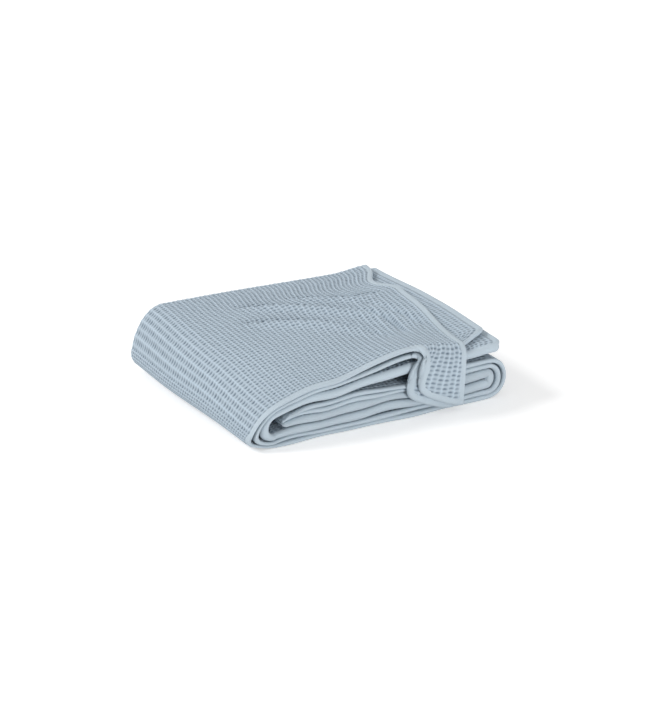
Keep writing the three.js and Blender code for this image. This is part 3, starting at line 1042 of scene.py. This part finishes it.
def make_corner(context, bundle, grid, at, layer):
    """The hanging corner of layer 1 or 2, from the first stations of that layer's grid."""
    corner = corner_grid(bundle, grid, at, CORNER_LAY[layer])
    flap = closed_sheet(f"corner_cloth_{layer}", corner, bundle.hem, joined=("front",))
    parts = ("", "hem_", "bend_")
    finish_piece(context, flap, [f"hanging_corner_{part}layer_{layer}" for part in parts])
    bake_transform(flap)


def make_upper(context, bundle, layers, rows, step):
    """One sheet of the top third and the left-hand fold: layer 1 or 2, or layers 3 and 4."""
    layer = layers[0]
    at = stations(bundle, bundle.layer[layers[-1] - 1], end_reference(layer), TOP, BOTTOM, step)
    grid = sheet_grid(bundle, layer, at, rows, TOP)
    keep = np.ones((len(at) - 1, len(rows["y"]) - 1), bool)
    joined = ("end",)
    if layer in CORNER_LAY:
        hanging = at[at <= arch_station(layer) + 1e-9]
        keep[:len(hanging) - 1, :grid.seam] = False
        joined = ("end", "seam")
    places = ("top_third", "left_fold")
    sheet = make_sheet(context, bundle, "top_cloth", layers, grid, keep, joined, places)
    blend_left_fold(sheet)
    if layer in CORNER_LAY:
        make_corner(context, bundle, grid, hanging, layer)


def make_lower(context, bundle, layers, rows):
    """One sheet of the bottom third, the right-hand fold and the middle third."""
    at = stations(bundle, bundle.layer[layers[-1] - 1], LOWER_END, BOTTOM, END, MEDIUM)
    grid = sheet_grid(bundle, layers[0] + 4, at, rows, END)
    places = ("bottom_third", "right_fold", "middle_third")
    sheet = make_sheet(context, bundle, "lower_cloth", layers, grid, None, ("start",), places)
    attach(sheet, "stack")


class BLANKET_OT_upper_layers(bpy.types.Operator):
    """Make the top third's layers with the left-hand fold and the hanging corner"""
    bl_idname = "blanket.upper_layers"
    bl_label = "Top third and left-hand fold"

    def execute(self, context):
        bundle = Bundle(context.scene.blanket_cloth)
        for layer, step in ((1, FINE), (2, MEDIUM)):
            make_upper(context, bundle, (layer,), hemmed_rows(bundle, layer, (step, step), 1.0), step)
        make_upper(context, bundle, (3, 4), doubled_rows(bundle, (MEDIUM, COARSE), 1.0), MEDIUM)
        return {"FINISHED"}


class BLANKET_OT_lower_layers(bpy.types.Operator):
    """Make the bottom third, the right-hand fold and the middle third"""
    bl_idname = "blanket.lower_layers"
    bl_label = "Bottom third, right-hand fold and middle third"

    def execute(self, context):
        bundle = Bundle(context.scene.blanket_cloth)
        for layer, far_step in ((1, LOOSER), (2, COARSE)):
            make_lower(context, bundle, (layer,), hemmed_rows(bundle, layer, (MEDIUM, far_step), 0.0))
        make_lower(context, bundle, (3, 4), doubled_rows(bundle, (MEDIUM, COARSE), 0.0))
        return {"FINISHED"}


# ---- the stage ----

CAMERA_AZIMUTH = -29.3
CAMERA_ELEVATION = 21.75
CAMERA_DISTANCE = 3.003
CAMERA_LENS = 98.9
LOOK_AT = (0.0114, -0.0297, -0.0110)    # from the middle of the CAD box, in metres

# The lamps: energy, place from the middle of the CAD box in metres, and angle.
LAMPS = {
    "key": (2.0, (-1.5, 0.9, 1.3), 0.4),
    "fill": (1.6, (0.25, -1.8, 0.16), 0.25),
}
WORLD_LEVEL = 0.53      # how bright the surroundings are for the cloth; the camera sees them at 1
FLOOR_SIDE = 6.0
FLOOR_LEVEL = -0.0005
FLOOR_GREY = 0.8
FLOOR_GLOW = 0.42       # the light added to what the camera sees of the floor


def turn_to(obj, place, aim):
    """Puts an object at a place with its -Z axis towards another."""
    direction = Vector([float(v) for v in aim - place])
    obj.location = [float(v) for v in place]
    obj.rotation_euler = direction.to_track_quat("-Z", "Y").to_euler()


def camera_sees(tree):
    """1 for what the camera sees, straight or in clear or glossy surfaces, and 0 for other light."""
    rays = add_node(tree, "LightPath").outputs
    seen = calc(tree, "MAXIMUM", rays["Is Camera Ray"], rays["Is Glossy Ray"])
    return calc(tree, "MAXIMUM", seen, rays["Is Transmission Ray"])


def make_floor():
    corners = [(x * FLOOR_SIDE, y * FLOOR_SIDE, 0) for x, y in ((-1, -1), (1, -1), (1, 1), (-1, 1))]
    mesh = bpy.data.meshes.new("floor")
    mesh.from_pydata(corners, [], [(0, 1, 2, 3)])
    floor = add_object("floor", mesh)
    floor.location.z = FLOOR_LEVEL
    material = bpy.data.materials.new("floor")
    material.use_nodes = True
    tree = material.node_tree
    tree.nodes.clear()
    base = add_node(tree, "BsdfDiffuse", Color=(FLOOR_GREY, FLOOR_GREY, FLOOR_GREY, 1.0))
    glow = add_node(tree, "Emission", Strength=calc(tree, "MULTIPLY", camera_sees(tree), FLOOR_GLOW))
    both = add_node(tree, "AddShader")
    for socket, shader in zip(both.inputs, (base, glow)):
        feed(tree, socket, shader.outputs[0])
    add_node(tree, "OutputMaterial", Surface=both.outputs[0])
    mesh.materials.append(material)


def make_world(scene):
    world = bpy.data.worlds.new("studio")
    world.use_nodes = True
    scene.world = world
    tree = world.node_tree
    background = tree.nodes["Background"]
    background.inputs["Color"].default_value = (1.0, 1.0, 1.0, 1.0)
    strength = calc(tree, "MULTIPLY_ADD", camera_sees(tree), 1.0 - WORLD_LEVEL, WORLD_LEVEL)
    tree.links.new(strength, background.inputs["Strength"])


class BLANKET_OT_stage(bpy.types.Operator):
    """Make the floor, the lamps and the camera"""
    bl_idname = "blanket.stage"
    bl_label = "Stage"

    def execute(self, context):
        scene = context.scene
        make_floor()
        make_world(scene)
        low, high = (np.array(corner) for corner in CAD_BOX)
        middle = (low + high) / 2
        for name, (energy, place, angle) in LAMPS.items():
            data = bpy.data.lights.new(name, "SUN")
            data.energy = energy
            data.angle = angle
            turn_to(add_object(name, data), middle + np.array(place), middle)
        data = bpy.data.cameras.new("camera")
        data.sensor_width = 36.0
        data.lens = CAMERA_LENS
        camera = add_object("camera", data)
        a, e = math.radians(CAMERA_AZIMUTH), math.radians(CAMERA_ELEVATION)
        back = np.array([math.sin(a) * math.cos(e), -math.cos(a) * math.cos(e), math.sin(e)])
        aim = middle + np.array(LOOK_AT)
        turn_to(camera, aim + CAMERA_DISTANCE * back, aim)
        scene.camera = camera
        scene.view_settings.view_transform = "Standard"
        return {"FINISHED"}


class BLANKET_PT_panel(bpy.types.Panel):
    """The blanket's sizes, colours and pieces"""
    bl_idname = "BLANKET_PT_panel"
    bl_label = "Folded throw blanket"
    bl_space_type = "VIEW_3D"
    bl_region_type = "UI"
    bl_category = "Blanket"

    def draw(self, context):
        layout = self.layout
        for group in settings(context):
            for key in group.__annotations__:
                layout.prop(group, key)
        for operator in OPERATORS:
            layout.operator(operator.bl_idname)


OPERATORS = (BLANKET_OT_upper_layers, BLANKET_OT_lower_layers, BLANKET_OT_stage)
CLASSES = (BlanketCloth, BlanketColours, *OPERATORS, BLANKET_PT_panel)


def register():
    for cls in CLASSES:
        bpy.utils.register_class(cls)
    bpy.types.Scene.blanket_cloth = PointerProperty(type=BlanketCloth)
    bpy.types.Scene.blanket_colours = PointerProperty(type=BlanketColours)


def unregister():
    del bpy.types.Scene.blanket_colours
    del bpy.types.Scene.blanket_cloth
    for cls in reversed(CLASSES):
        bpy.utils.unregister_class(cls)


def main():
    register()
    bpy.ops.blanket.upper_layers()
    bpy.ops.blanket.lower_layers()
    bpy.ops.blanket.stage()
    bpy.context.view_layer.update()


if __name__ == "__main__":
    main()
